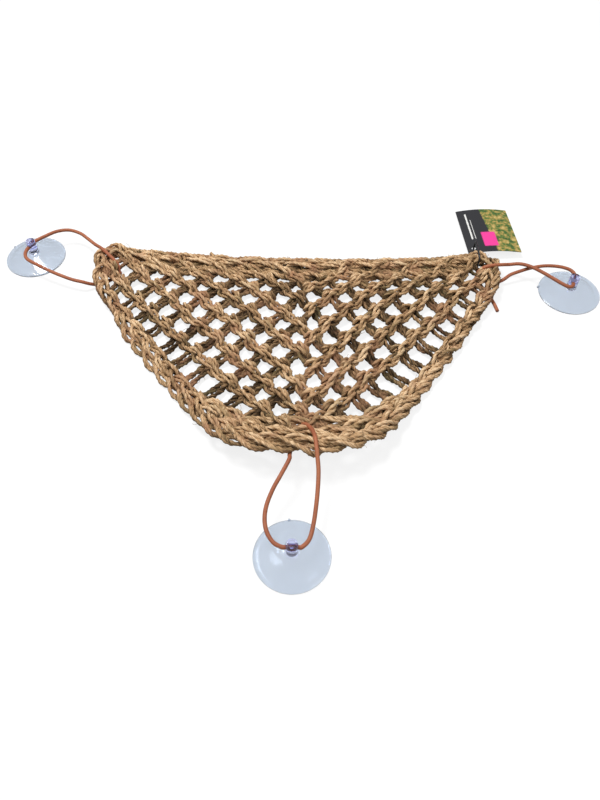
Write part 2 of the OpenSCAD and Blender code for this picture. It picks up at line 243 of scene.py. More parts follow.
def tube(points, radius, sides):
    """A closed tube along points in metres, with the attributes along and around."""
    t = unit(np.gradient(points, axis=0))
    side = unit(np.cross(t[0], (0, 0, 1) if abs(t[0][2]) < 0.9 else (1, 0, 0)))
    along = distances(points)
    built = bmesh.new()
    along_layer = built.verts.layers.float.new("along")
    around_layer = built.verts.layers.float.new("around")
    rings = []
    for i, at in enumerate(points):
        side = unit(side - (side @ t[i]) * t[i])
        up = np.cross(t[i], side)
        ring = []
        for k in range(sides):
            a = FULL_TURN * k / sides
            v = built.verts.new(at + radius * (math.cos(a) * side + math.sin(a) * up))
            v[along_layer] = along[i]
            v[around_layer] = 0.5 - 0.5 * math.cos(a)
            ring.append(v)
        rings.append(ring)
    for a, b in zip(rings, rings[1:]):
        for k in range(sides):
            built.faces.new((a[k], a[(k + 1) % sides], b[(k + 1) % sides], b[k]))
    built.faces.new(rings[0][::-1])
    built.faces.new(rings[-1])
    return plain_mesh(built)


leather, tree = new_finish("terracotta_leather")
along, around = attribute(tree, "along"), attribute(tree, "around")


def leather_marks(rate, turns, start, detail=2):
    """Marks on the leather: how many to a metre and round the cord, and where their pattern starts."""
    return noise(tree, vector(tree, along * rate, around * turns, start), detail=detail)


grain = leather_marks(rate=900, turns=5, start=0, detail=4)
creases = leather_marks(rate=300, turns=2, start=3)
blotches = leather_marks(rate=60, turns=0.5, start=9)
leather_colour = shades(tree, blotches * 0.6 + grain * 0.4,
                        [(0.25, DARK_LEATHER), (0.5, TERRACOTTA), (0.75, WORN_LEATHER)])
surface_shader(tree, {
    "Base Color": leather_colour,
    "Roughness": 0.45 + 0.3 * grain,
    "Specular IOR Level": 0.35,
    "Normal": bumped(tree, grain * 0.6 + creases * 0.4, distance=0.0003, strength=0.5)})

LEFT_CUP, LEFT_TURN = (-204, 109), 65
RIGHT_CUP, RIGHT_TURN = (204, 70), 70
FRONT_CUP, FRONT_TURN = (-2, -140), 0
NECK = (5.5, 3.0, -3.0, -5.5)


def neck(cup, turn, way):
    """Points of the straight stretch of cord in a cup's cross hole."""
    c, s = math.cos(math.radians(turn)), math.sin(math.radians(turn))
    return [[cup[0] + way * k * c, cup[1] + way * k * s, HOLE_H] for k in NECK]


left_over = [[-135.5, 87.5, 3], [-135.5, 91.5, 6.5], [-138.5, 94.5, 10], [-143, 98.5, 12.2],
             [-147, 102.5, 12.8], [-151, 106.5, 12.4], [-156, 111.5, 11]]
left_arm_1 = [[-163, 118.5, 10.6], [-170, 124.5, 10.8], [-179, 127.5, 11.5], [-188, 125, 12.3],
              [-196, 119, 12.5]]
left_arm_2 = [[-206.5, 98.5, 12.4], [-203.5, 93.3, 12], [-196, 88.8, 11.2], [-186, 83.3, 10.2],
              [-175, 78.3, 9.2], [-167, 75.5, 8.2]]
left_under = [[-160, 74, 7.5], [-155, 75, 4.5], [-150, 76.8, 2], [-145, 79.5, 1.4], [-139.5, 83.5, 1.6],
              [-137, 86, 2.3]]
right_over = [[147, 50, 1.4], [145.5, 58, 1.4], [143, 66, 1.4], [138.8, 75.5, 1.9], [136.6, 82.6, 3.8],
              [137.5, 85.6, 6.8], [141, 86.4, 10.2], [146, 86.4, 12.2], [151, 87, 12.3], [156, 88.5, 11.2],
              [161, 90.5, 9.5]]
right_arm_1 = [[168, 89, 11.5], [175, 84.5, 13], [183, 77.5, 13.3], [190, 71, 12.9], [195.5, 66, 12.6],
               [199.3, 63.6, 12.5]]
right_arm_2 = [[205.6, 79, 12.5], [202.5, 82.8, 12.3], [196, 86, 11.7], [187, 88, 10.4], [177, 87.3, 9],
               [168, 85, 7.6]]
right_under = [[161, 82.5, 6.5], [156, 80, 4], [151, 79, 2], [146, 79.4, 1.8], [141.2, 80.6, 2.2],
               [138.5, 81.7, 3]]
front_over = [[2, -59.5, 5.6], [3.6, -56.5, 8.2], [4.6, -57.5, 12.4], [7, -61.5, 17.4], [9.7, -68, 22.2],
              [11.5, -75.5, 25.6], [12.3, -82.5, 24.8], [12.8, -88, 23]]
front_arm_1 = [[13.3, -96, 20.5], [12.8, -106, 17.3], [11.6, -117, 14.6], [10, -127, 13],
               [7.6, -135.5, 12.5]]
front_arm_2 = [[-12.3, -137.3, 12.5], [-16, -131.5, 12.7], [-17.6, -124, 13.2], [-16.8, -115.5, 14.5],
               [-13.3, -106, 16.6], [-9, -98, 18.5]]
front_under = [[-4, -88, 20], [-3.7, -83, 17.6], [-2.8, -76, 13.5], [0, -67, 8], [1.3, -62, 6]]

left_route = left_over + left_arm_1 + neck(LEFT_CUP, LEFT_TURN, 1) + left_arm_2 + left_under
right_route = right_over + right_arm_1 + neck(RIGHT_CUP, RIGHT_TURN, -1) + right_arm_2 + right_under
front_route = front_over + front_arm_1 + neck(FRONT_CUP, FRONT_TURN, 1) + front_arm_2 + front_under


def overhand_knot(at):
    """A small overhand knot: a trefoil of the same cord, drawn tight."""
    a = np.linspace(0, FULL_TURN, KNOT_STEPS)
    x = np.sin(a) + KNOT_LOOP * np.sin(2 * a)
    y = np.cos(a) - KNOT_LOOP * np.cos(2 * a)
    line = np.stack([x, y, -KNOT_DEPTH * np.sin(3 * a)], 1)
    return tube((np.array(at) + line * KNOT_SIZE) * MM, KNOT_STRAND_R * MM, KNOT_SIDES)


def leather_cord(side, route, knot_at):
    """One cord from end to end, which bends where its loop leaves the edge, and its knot."""
    line = smooth_route(route, ROUTE_STEPS) * MM
    knot = show(f"{side}_cord_knot", overhand_knot(knot_at), leather)
    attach(knot, "net")
    cord = show(f"{side}_cord", tube(line, CORD_D / 2 * MM, CORD_SIDES), leather)
    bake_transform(cord)
    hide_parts(f"{side}_hitch", f"{side}_loop")


leather_cord("left", left_route, knot_at=(-135.6, 87.6, 3.2))
leather_cord("right", right_route, knot_at=(136.8, 82.2, 3.6))
leather_cord("front", front_route, knot_at=(2, -60, 5.8))

# Suction cups
# Clear soft PVC, moulded in one piece: a thin cone with a flat sealing rim, and a post with a cross hole
# for the cord. Each has a small pip on its rim where the plastic was fed into the mould.
CUP_R = 22.5
RIM_W, RIM_T = 3.0, 0.9
RIM_FOOT, RIM_ROUND = 0.25, 0.3
HOLLOW_H, DOME_H = 3.8, 6.0
POST_R, POST_H = 3.5, 17.0
POST_FILLET, POST_ROUND = 1.6, 0.875
DISH_R, DISH_FLOOR_R = 2.17, 1.96
DISH_EDGE, DISH_DEPTH = 0.25, 0.3
CROSS_HOLE_R, ROD_REACH = 1.7, 8.0
PIP = [(0, 0.05), (0.9, 0.05), (1, 0.3), (0.9, 0.75), (0, 0.9)]
CUP_SEGMENTS, ROD_SEGMENTS, PIP_SEGMENTS = 128, 40, 20
CONE_STEPS, ROUND_STEPS = 14, 9
SHARP_ANGLE = 40
TINT_LOW, TINT_HIGH = 5.5, 9.0
CONE_TINT = (0.63, 0.70, 0.80)
POST_TINT = (0.57, 0.57, 0.97)


def cup_profile():
    """Half the cup's section, as radius and height, from the hollow's middle round to the post's top."""
    k = np.linspace(0, 1, CONE_STEPS)
    hollow = [((CUP_R - RIM_W) * s, HOLLOW_H * (1 - s * s)) for s in k]
    brim = CUP_R - RIM_ROUND
    rim = [(CUP_R - RIM_FOOT, 0), (CUP_R, RIM_FOOT), (CUP_R, RIM_T - RIM_ROUND), (brim, RIM_T)]
    foot = POST_R + POST_FILLET
    cone = [(brim + (foot - brim) * s, RIM_T + (DOME_H - RIM_T) * s) for s in k[1:-1]]
    a = np.radians(np.linspace(0, 90, ROUND_STEPS))
    fillet = [(foot - POST_FILLET * math.sin(x), DOME_H + POST_FILLET * (1 - math.cos(x))) for x in a]
    crown = [(POST_R - POST_ROUND * (1 - math.cos(x)), POST_H - POST_ROUND * (1 - math.sin(x))) for x in a]
    dish = [(DISH_R, POST_H), (DISH_FLOOR_R, POST_H - DISH_EDGE), (0, POST_H - DISH_DEPTH)]
    return hollow + rim + cone + fillet + crown + dish


def turned_mesh(profile, segments):
    """A profile turned about the Z axis, as a bmesh in millimetres."""
    mesh = bmesh.new()
    rings = []
    for r, z in profile:
        if r < 1e-6:
            rings.append([mesh.verts.new((0, 0, z))])
            continue
        turn = [FULL_TURN * k / segments for k in range(segments)]
        rings.append([mesh.verts.new((r * math.cos(a), r * math.sin(a), z)) for a in turn])
    for a, b in zip(rings, rings[1:]):
        for k in range(segments):
            n = (k + 1) % segments
            corners = [a[k % len(a)], a[n % len(a)], b[n % len(b)], b[k % len(b)]]
            mesh.faces.new(list(dict.fromkeys(corners)))
    bmesh.ops.recalc_face_normals(mesh, faces=mesh.faces)
    return mesh


def cut_hole(target, cutter):
    """Takes one mesh out of another and returns the result."""
    body = bpy.data.objects.new("body", target)
    tool = bpy.data.objects.new("tool", cutter)
    for thing in (body, tool):
        scene.collection.objects.link(thing)
    step = body.modifiers.new("cut", "BOOLEAN")
    step.operation = "DIFFERENCE"
    step.solver = "EXACT"
    step.object = tool
    graph = bpy.context.evaluated_depsgraph_get()
    result = bpy.data.meshes.new_from_object(body.evaluated_get(graph))
    for thing in (body, tool):
        bpy.data.objects.remove(thing)
    return result


def suction_cup(side, at, turn, pip_turn):
    """One cup, with its pip and its cross hole, in its place on the table."""
    rod = turned_mesh([(0, -ROD_REACH), (CROSS_HOLE_R, -ROD_REACH),
                       (CROSS_HOLE_R, ROD_REACH), (0, ROD_REACH)], ROD_SEGMENTS)
    a, b = math.radians(turn), math.radians(pip_turn)
    for v in rod.verts:
        x, y, z = v.co
        v.co = (z * math.cos(a) - y * math.sin(a), z * math.sin(a) + y * math.cos(a), HOLE_H - x)
    bmesh.ops.recalc_face_normals(rod, faces=rod.faces)
    pip = turned_mesh(PIP, PIP_SEGMENTS)
    for v in pip.verts:
        v.co += Vector((CUP_R * math.cos(b), CUP_R * math.sin(b), 0))
    whole = bmesh.new()
    whole.from_mesh(cut_hole(plain_mesh(turned_mesh(cup_profile(), CUP_SEGMENTS)), plain_mesh(rod)))
    whole.from_mesh(plain_mesh(pip))
    for v in whole.verts:
        v.co = ((v.co.x + at[0]) * MM, (v.co.y + at[1]) * MM, v.co.z * MM)
    cup = show(f"{side}_clear_cup", plain_mesh(whole), clear_pvc)
    cup.data.set_sharp_from_angle(angle=math.radians(SHARP_ANGLE))
    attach(cup, f"{side}_cup")
    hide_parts(f"{side}_cup")


def ranged(tree, value, low, high, top=1.0, **settings):
    """Nought up to the low value, rising to the top at the high one."""
    return node(tree, "ShaderNodeMapRange",
                {"Value": value, "From Min": low, "From Max": high, "To Max": top}, **settings)


def mixed(tree, factor, below, above):
    """One colour over another, as far as the factor says; the node's colours are sockets 6, 7 and 2."""
    below, above = (c if isinstance(c, Wire) else (*c, 1) for c in (below, above))
    return node(tree, "ShaderNodeMix", {"Factor": factor, 6: below, 7: above}, output=2, data_type="RGBA")


clear_pvc, tree = new_finish("clear_pvc")
place = node(tree, "ShaderNodeTexCoord", output="Object")
height = node(tree, "ShaderNodeSeparateXYZ", {0: place}, output="Z")
in_post = ranged(tree, height, TINT_LOW * MM, TINT_HIGH * MM, interpolation_type="SMOOTHSTEP")
surface_shader(tree, {
    "Base Color": mixed(tree, in_post, CONE_TINT, POST_TINT),
    "Roughness": 0.10 + 0.08 * noise(tree, place, scale=220.0),
    "IOR": 1.42,
    "Transmission Weight": 1.0,
    "Specular IOR Level": 0.5,
    "Normal": bumped(tree, noise(tree, place, scale=45.0, detail=1), distance=0.0006, strength=0.25)})

suction_cup("left", LEFT_CUP, LEFT_TURN, pip_turn=150)
suction_cup("right", RIGHT_CUP, RIGHT_TURN, pip_turn=165)
suction_cup("front", FRONT_CUP, FRONT_TURN, pip_turn=95)

# Net surface
# The net lies flat on the table in its middle, curls up at the lip and lifts a little at its top corners.
# Twine is laid on this surface at a height over it; all the sizes here are in millimetres.
NET_W = 315.0
LIP_Y, TOP_Y = -81.0, 114.0
PAIR_T = 3.2
GAP = 0.3
PLAIT_W, LIP_PLAIT_W = 13.0, 9.5
PLAIT_H = 1.1
BINDING_W = 4.4
MESH_X, MESH_Y = 11.9, 13.0
MESH_X0, MESH_Y0 = 12.2, 60.0
OUTLINE = np.array([(-157.5, 114), (-153, 68), (-37.5, -81), (47.5, -81), (153, 68), (157.5, 114)], float)
OUTLINE_R = (19, 58, 62, 62, 58, 19)
LEAST_R, CORNER_STEPS = 2, 9
LINE_STEP = 1.5
TOP_SAG, TOP_TILT, SAG_REACH = 10.0, 10.0, 52.0
SAG_FLAT = PLAIT_W + GAP + BINDING_W
LIP_RISE, LIP_REACH = 20.0, 65.0
CORNER_RISE, CORNER_REACH = 5.5, 56.0


def ease(t):
    t = np.clip(t, 0, 1)
    return t * t * (3 - 2 * t)


def on_surface(p):
    """Points of the net's surface over flat points."""
    x, y = p[:, 0], p[:, 1]
    sag = TOP_SAG * np.maximum(0, 1 - (2 * x / NET_W) ** 2) + TOP_TILT * x / NET_W
    y = y - sag * ease((y - TOP_Y + SAG_REACH) / (SAG_REACH - SAG_FLAT))
    lip = LIP_RISE * (np.maximum(0, LIP_Y + LIP_REACH - y) / LIP_REACH) ** 2
    corner = CORNER_RISE * (np.maximum(0, np.abs(x) - NET_W / 2 + CORNER_REACH) / CORNER_REACH) ** 2
    return np.stack([x, y, PAIR_T / 2 + lip + corner], 1)


def laid(flat, height):
    """Flat points laid on the surface at a height over it."""
    nudge = 0.01
    at = on_surface(flat)
    along_x, along_y = on_surface(flat + (nudge, 0)) - at, on_surface(flat + (0, nudge)) - at
    return at + unit(np.cross(along_x, along_y)) * np.reshape(height, (-1, 1))


def inset_outline(insets):
    """The outline set in by a distance of its own on each edge, with rounded corners."""
    edge = np.roll(OUTLINE, -1, 0) - OUTLINE
    inward = unit(np.stack([-edge[:, 1], edge[:, 0]], 1))
    level = (inward * OUTLINE).sum(1) + insets
    count = len(OUTLINE)
    corners = [np.linalg.solve([inward[i - 1], inward[i]], [level[i - 1], level[i]]) for i in range(count)]
    line = []
    for i in range(count):
        before, at, after = corners[i - 1], corners[i], corners[(i + 1) % count]
        u, w = unit(before - at), unit(after - at)
        half = math.acos(u @ w) / 2
        r = max(LEAST_R, OUTLINE_R[i] - max(insets[i], insets[i - 1]))
        middle = at + unit(u + w) * r / math.sin(half)
        start = at + u * r / math.tan(half) - middle
        angle = math.atan2(start[1], start[0]) + np.linspace(0, math.pi - 2 * half, CORNER_STEPS)
        line.extend(middle + r * np.stack([np.cos(angle), np.sin(angle)], 1))
    return np.array(line)


def evenly(line):
    """The same flat line with points a step apart, and how far along it each of them lies."""
    s = distances(line)
    at = np.linspace(0, s[-1], max(3, int(round(s[-1] / LINE_STEP)) + 1))
    return np.stack([np.interp(at, s, line[:, 0]), np.interp(at, s, line[:, 1])], 1), at


# Seagrass twine
# Every strand of the net is two plies of dry seagrass twisted together. One node tree lays both plies
# along the strands' middle lines; each strand starts at its own point of the twist and has its own tone.
PLY_R, PLY_SIDES = 1.2, 9
PLY_LAY, BLADE_LAY = 22.0, 11.0
BLADES, BLADE_GROOVE = 3, 0.2
PLY_APART, PLY_APART_MORE = 0.56, 0.3
PLY_THIN, PLY_THICKER = 0.85, 0.5
UNEVEN_RATE, TWIST_SLIP = 140, 1.6
STRAND_TURN, STRAND_START = 40, 97
STRAND_STEP = 0.9
WAVES = (1.0, 1.7, 2.9)
SEAGRASS_SHADES = [(0.06, (0.034, 0.019, 0.009)), (0.24, (0.115, 0.070, 0.033)),
                   (0.44, (0.290, 0.176, 0.088)), (0.66, (0.530, 0.330, 0.170)),
                   (0.92, (0.800, 0.580, 0.360))]
PINKISH_SEAGRASS = (0.40, 0.205, 0.115)
OLIVE_SEAGRASS = (0.20, 0.165, 0.075)
BLADE_CONTRAST, PATCH_CONTRAST, STRAND_CONTRAST = 1.3, 0.5, 0.3
rng = np.random.default_rng(7)


def new_tree(name, sizes):
    """A geometry tree with named inputs, its first geometry wire and its input wires."""
    tree = bpy.data.node_groups.new(name, "GeometryNodeTree")
    tree.interface.new_socket("Geometry", in_out="INPUT", socket_type="NodeSocketGeometry")
    kinds = {"Material": "NodeSocketMaterial", "Seed": "NodeSocketInt"}
    for size in sizes:
        tree.interface.new_socket(size, in_out="INPUT", socket_type=kinds.get(size, "NodeSocketFloat"))
    tree.interface.new_socket("Geometry", in_out="OUTPUT", socket_type="NodeSocketGeometry")
    start = tree.nodes.new("NodeGroupInput")
    return tree, {s.name: Wire(tree, s) for s in start.outputs if s.name}


def close_tree(tree, geometry, finish):
    """Ends a tree in a plain mesh with its material."""
    plain = node(tree, "GeometryNodeRealizeInstances", {0: geometry})
    finished = node(tree, "GeometryNodeSetMaterial", {"Geometry": plain, "Material": finish})
    node(tree, "NodeGroupOutput", {0: finished})


def grown(carrier, tree, values):
    """The plain mesh that a tree makes of a carrier mesh."""
    thing = bpy.data.objects.new("carrier", carrier)
    scene.collection.objects.link(thing)
    step = thing.modifiers.new("grow", "NODES")
    step.node_group = tree
    for item in tree.interface.items_tree:
        if item.in_out == "INPUT" and item.name in values:
            step[item.identifier] = values[item.name]
    graph = bpy.context.evaluated_depsgraph_get()
    shaped = thing.evaluated_get(graph)
    mesh = bpy.data.meshes.new_from_object(shaped, preserve_all_data_layers=True, depsgraph=graph)
    thing.modifiers.remove(step)
    bpy.data.objects.remove(thing)
    return mesh


def scaled(tree, direction, amount):
    return node(tree, "ShaderNodeVectorMath", {0: direction, "Scale": amount}, operation="SCALE")


def added(tree, a, b):
    return node(tree, "ShaderNodeVectorMath", {0: a, 1: b}, operation="ADD")


def keep(tree, geometry, name, value, domain="POINT"):
    """Stores a value on a geometry under a name."""
    return node(tree, "GeometryNodeStoreNamedAttribute",
                {"Geometry": geometry, "Name": name, "Value": value}, data_type="FLOAT", domain=domain)


def recall(tree, name):
    return node(tree, "GeometryNodeInputNamedAttribute", {"Name": name}, data_type="FLOAT")


twine_tree, wire = new_tree("two_ply_twine", ["Ply radius", "Lay", "Step", "Seed", "Material"])
tree = twine_tree
strands = node(tree, "GeometryNodeMeshToCurve", {0: wire["Geometry"]})
strands = node(tree, "GeometryNodeResampleCurve", {"Curve": strands, "Length": wire["Step"]}, mode="LENGTH")
number = node(tree, "GeometryNodeInputIndex")
chance = node(tree, "FunctionNodeRandomValue",
              {"ID": number, "Seed": wire["Seed"]}, output=1, data_type="FLOAT")
strands = keep(tree, strands, "strand", chance, "CURVE")
strands = keep(tree, strands, "along", node(tree, "GeometryNodeSplineParameter", output="Length"))
run, strand, girth = (recall(tree, name) for name in ("along", "strand", "girth"))
normal = node(tree, "GeometryNodeInputNormal")
tangent = node(tree, "GeometryNodeInputTangent")
across = node(tree, "ShaderNodeVectorMath", {0: tangent, 1: normal}, operation="CROSS_PRODUCT")
uneven = node(tree, "ShaderNodeTexNoise",
              {"W": run * UNEVEN_RATE + strand * STRAND_START, "Scale": 1.0, "Detail": 2.0},
              noise_dimensions="1D")
profile = node(tree, "GeometryNodeCurvePrimitiveCircle",
               {"Resolution": PLY_SIDES, "Radius": wire["Ply radius"]}, mode="RADIUS")
profile = keep(tree, profile, "around", node(tree, "GeometryNodeSplineParameter"))
lobes = (recall(tree, "around") * (BLADES * FULL_TURN)).cosine()
grooves = scaled(tree, node(tree, "GeometryNodeInputPosition"), lobes * BLADE_GROOVE)
profile = node(tree, "GeometryNodeSetPosition", {"Geometry": profile, "Offset": grooves})
ropes = []
for ply in (0, 1):
    angle = run / wire["Lay"] * FULL_TURN + strand * STRAND_TURN + math.pi * ply + uneven * TWIST_SLIP
    spread = wire["Ply radius"] * girth * (PLY_APART + PLY_APART_MORE * uneven)
    offset = added(tree, scaled(tree, normal, angle.cosine() * spread),
                   scaled(tree, across, angle.sine() * spread))
    line = node(tree, "GeometryNodeSetPosition", {"Geometry": strands, "Offset": offset})
    thickness = girth * (PLY_THIN + PLY_THICKER * uneven)
    line = node(tree, "GeometryNodeSetCurveRadius", {"Curve": line, "Radius": thickness})
    tilt = run / (BLADE_LAY * MM) * FULL_TURN
    line = node(tree, "GeometryNodeSetCurveTilt", {"Curve": line, "Tilt": tilt})
    rope = node(tree, "GeometryNodeCurveToMesh", {"Curve": line, "Profile Curve": profile, "Fill Caps": True})
    ropes.append(keep(tree, rope, "ply", float(ply)))
plies = node(tree, "GeometryNodeJoinGeometry", {0: ropes})
close_tree(tree, node(tree, "GeometryNodeSetShadeSmooth", {"Geometry": plies}), wire["Material"])

seagrass, tree = new_finish("dry_seagrass")
along, around = attribute(tree, "along"), attribute(tree, "around")
tone, strand, ply = attribute(tree, "tone"), attribute(tree, "strand"), attribute(tree, "ply")
place = node(tree, "ShaderNodeTexCoord", output="Object")
twist = around * FULL_TURN
ring_x, ring_y = twist.cosine(), twist.sine()


def twine_marks(rate, turns, ply_apart, strand_apart, detail=2, roughness=0.55):
    """Marks along and round the plies, and how far apart two plies or strands are in their pattern."""
    x = ring_x * turns + ply * ply_apart
    y = ring_y * turns + strand * strand_apart
    return noise(tree, vector(tree, x, y, along * rate), detail=detail, roughness=roughness)


fibres = twine_marks(rate=150, turns=2.6, ply_apart=11, strand_apart=53, detail=4, roughness=0.65)
blades = twine_marks(rate=90, turns=1.3, ply_apart=5, strand_apart=31)
stains = twine_marks(rate=30, turns=0, ply_apart=7, strand_apart=61)
patches = noise(tree, place, scale=38.0)
# The tone that the strands carry holds painted light and shade as well as their own tone: lighter where
# strands lie high, darker where they lie low.
shade = tone + (fibres - 0.5) * BLADE_CONTRAST + (blades - 0.5) * BLADE_CONTRAST
shade = shade + (patches - 0.5) * PATCH_CONTRAST + (strand - 0.5) * STRAND_CONTRAST
pinkish = ranged(tree, noise(tree, place, scale=60.0), low=0.50, high=0.68, top=0.62)
olive = ranged(tree, stains, low=0.53, high=0.66, top=0.35)
seagrass_colour = mixed(tree, pinkish, shades(tree, shade, SEAGRASS_SHADES), PINKISH_SEAGRASS)
seagrass_colour = mixed(tree, olive, seagrass_colour, OLIVE_SEAGRASS)
surface_shader(tree, {
    "Base Color": seagrass_colour,
    "Roughness": 0.55 + 0.35 * fibres,
    "Specular IOR Level": 0.15,
    "Normal": bumped(tree, fibres * 0.7 + blades * 0.3, distance=0.0007, strength=0.7)})


def twine(name, lines, nodes, lay=PLY_LAY):
    """One piece of the net: strands given as (points in millimetres, tone and girth for each point)."""
    points, edges = [], []
    values = {"tone": [], "girth": []}
    for line, tone, girth in lines:
        first = len(points)
        points.extend(line * MM)
        edges.extend((i, i + 1) for i in range(first, len(points) - 1))
        values["tone"].extend(np.broadcast_to(tone, len(line)))
        values["girth"].extend(np.broadcast_to(girth, len(line)))
    carrier = bpy.data.meshes.new(name)
    carrier.from_pydata(points, edges, [])
    for label, numbers in values.items():
        layer = carrier.attributes.new(label, "FLOAT", "POINT")
        layer.data.foreach_set("value", np.array(numbers, np.float32))
    sizes = {"Ply radius": PLY_R * MM, "Lay": lay * MM, "Step": STRAND_STEP * MM}
    mesh = grown(carrier, twine_tree, {**sizes, "Seed": len(name), "Material": seagrass})
    piece = show(name, mesh, seagrass)
    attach(piece, "net")
    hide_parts(*nodes)


def waver(along_mm, size, wave=14.0):
    """Small irregular shifts along a strand, as hand work has."""
    out = np.zeros_like(along_mm)
    for k in WAVES:
        out += np.sin(FULL_TURN * (along_mm / wave / k + rng.random())) / len(WAVES)
    return size * out


# Plaited edge
# A flat plait of three strands runs round both sides and the lip, with a loose open twist outside it, and
# another along the top. A second plait and two ropes lie inside the lip. Two cords bind the net to the top.
STRAND_R, STRAND_REACH = 2.15, 2.0
PLAIT_GIRTH, PLAIT_DEPTH, PLAIT_LIFT = 1.45, 1.9, 1.7
PLAIT_PROUD = 0.2
SWING_WAVER, RISE_WAVER = 0.8, 0.3
EDGE_TONE, LOOSE_TONE, TOP_TONE = 0.59, 0.64, 0.50
# The plait's strands are painted lighter on their crests and darker where they dip under the others: painted
# light and shade.
TONE_CHANCE, PLAIT_PAINTED_LIGHT = 0.1, 0.15
TONE_WAVER, TONE_WAVE = 0.12, 40.0
CORE_GIRTH, CORE_OUT, CORE_WAVER = 0.85, -0.5, 0.5
# The two strands under the plait are painted dark: painted shade from the plait over them.
PLAIT_CORE_PAINTED_SHADE, CORE_TONE_WAVER = 0.16, 0.1
PLAIT_PERIOD, TOP_PERIOD = 50.0, 76.0
LONG_LAY = 42.0
NARROWING_REACH = 24.0


def followed(line):
    """Even points along a flat line, how far along it they lie, and the way to its right at each."""
    flat, s = evenly(np.array(line, float))
    way = unit(np.gradient(flat, axis=0))
    return flat, s, np.stack([way[:, 1], -way[:, 0]], 1)


def lifted(height, girth, flat):
    """The height of a strand's middle, but not so low that the strand would dip into the table."""
    return np.maximum(height, PLY_R * STRAND_REACH * girth - on_surface(flat)[:, 2])


def plait(line, width, period, base_tone):
    """The middle lines of the three strands of a plait along a flat line, and of the two they lie on."""
    flat, s, side = followed(line)
    share = width(flat) / PLAIT_W
    girth = PLAIT_GIRTH * share
    reach = width(flat) / 2 - STRAND_R * girth + PLAIT_PROUD
    out = []
    for k in range(3):
        a = FULL_TURN * (s / period + k / 3)
        swing = reach * np.sin(a) + waver(s, SWING_WAVER)
        place = flat + side * swing[:, None]
        rise = PLAIT_H + PLAIT_DEPTH * np.sin(2 * a) + PLAIT_LIFT + waver(s, RISE_WAVER)
        # Painted light and shade: a strand is lighter where it rides high and darker where it dips under the
        # others.
        tone = base_tone + TONE_CHANCE * rng.random() + PLAIT_PAINTED_LIGHT * np.sin(2 * a)
        tone = tone + waver(s, TONE_WAVER, TONE_WAVE)
        out.append((laid(place, lifted(rise, girth, place)), tone, girth))
    for sign in (1, -1):
        shift = sign * (reach + CORE_OUT) + waver(s, CORE_WAVER)
        place = flat + side * shift[:, None]
        rise = lifted(np.zeros_like(s), CORE_GIRTH, place)
        # Painted shade: the strands under the plait are dark, as if in the plait's shadow.
        tone = PLAIT_CORE_PAINTED_SHADE + waver(s, CORE_TONE_WAVER, TONE_WAVE)
        out.append((laid(place, rise), tone, CORE_GIRTH * share**2))
    return out


def border_width(flat):
    """The side plait draws in towards the lip."""
    out = ease((flat[:, 1] - LIP_Y - LIP_PLAIT_W / 2) / NARROWING_REACH)
    return LIP_PLAIT_W + (PLAIT_W - LIP_PLAIT_W) * out


def steady(width):
    """A plait that keeps its width."""
    return lambda flat: np.full(len(flat), width)


TWIST_WAVER, TWIST_WAVE = 0.5, 60.0
CORD_WAVER, CORD_FLATTEN = 0.4, 0.8
# A twisted cord's strands are painted lighter where they pass high and darker where they pass low: painted
# light and shade.
CORD_PAINTED_LIGHT, CORD_TONE_WAVER = 0.08, 0.1
FRONT_CORD_X, CORD_PRESS = 12.5, 3.0
PRESS_REACH_X, PRESS_REACH_Y = 6.0, 8.0


def under_cord(flat):
    """How far the edge is pressed down where the front cord goes over it."""
    x, y = (flat[:, 0] - FRONT_CORD_X) / PRESS_REACH_X, (flat[:, 1] - LIP_Y) / PRESS_REACH_Y
    return CORD_PRESS * np.exp(-x * x - y * y)


def twisted_cord(line, swing, period, height, tone, girth=1.0):
    """The middle lines of two strands twisted together along a flat line."""
    flat, s, side = followed(line)
    out = []
    for k in (0, 1):
        a = FULL_TURN * s / period + math.pi * k + waver(s, TWIST_WAVER, TWIST_WAVE)
        shift = swing * np.sin(a) + waver(s, CORD_WAVER)
        place = flat + side * shift[:, None]
        rise = height + swing * CORD_FLATTEN * np.cos(a) - under_cord(place)
        # Painted light and shade: lighter as the strand rises, darker as it sinks.
        shade = tone + CORD_PAINTED_LIGHT * np.cos(a) + waver(s, CORD_TONE_WAVER, TONE_WAVE)
        out.append((laid(place, lifted(rise, girth, place)), shade, girth))
    return out


LIP_SHIFT = 5.0
LIP_ROW_REACH, UPPER_ROW_REACH = 62.0, 44.0
ROW_TUCK, ROW_TUCK_REACH = 9.0, 18.0
LOOSE_INSETS, LOOSE_TOP = (0.0, 0.0, 0.5, 3.5, 3.5, 0.0), 45.0
LOOSE_TUCK, LOOSE_TUCK_REACH = 4.0, 25.0
half, half_lip = PLAIT_W / 2, LIP_PLAIT_W / 2
row_side = PLAIT_W + GAP + half_lip


def lip_row(inset, reach=LIP_ROW_REACH):
    """A line that follows the lip at a distance from it and ends under the side plaits."""
    row = evenly(inset_outline([row_side, row_side, inset, row_side, row_side, 0]))[0]
    row = row[(row[:, 1] < 0) & (np.abs(row[:, 0] - LIP_SHIFT) < reach)]
    tuck = ROW_TUCK * ease((np.abs(row[:, 0] - LIP_SHIFT) - reach + ROW_TUCK_REACH) / ROW_TUCK_REACH)
    return row + unit(row - np.array([LIP_SHIFT, 0.0])) * tuck[:, None]


def loose_edge():
    """A line just outside the lower part of the edge, which starts and ends under the plait."""
    line = evenly(inset_outline(LOOSE_INSETS))[0]
    line = line[line[:, 1] < LOOSE_TOP]
    tuck = LOOSE_TUCK * (1 - ease((LOOSE_TOP - line[:, 1]) / LOOSE_TUCK_REACH))
    return line + unit(np.array([LIP_SHIFT, LOOSE_TOP]) - line) * tuck[:, None]


def level(y, reach):
    return [(-reach, y), (reach, y)]


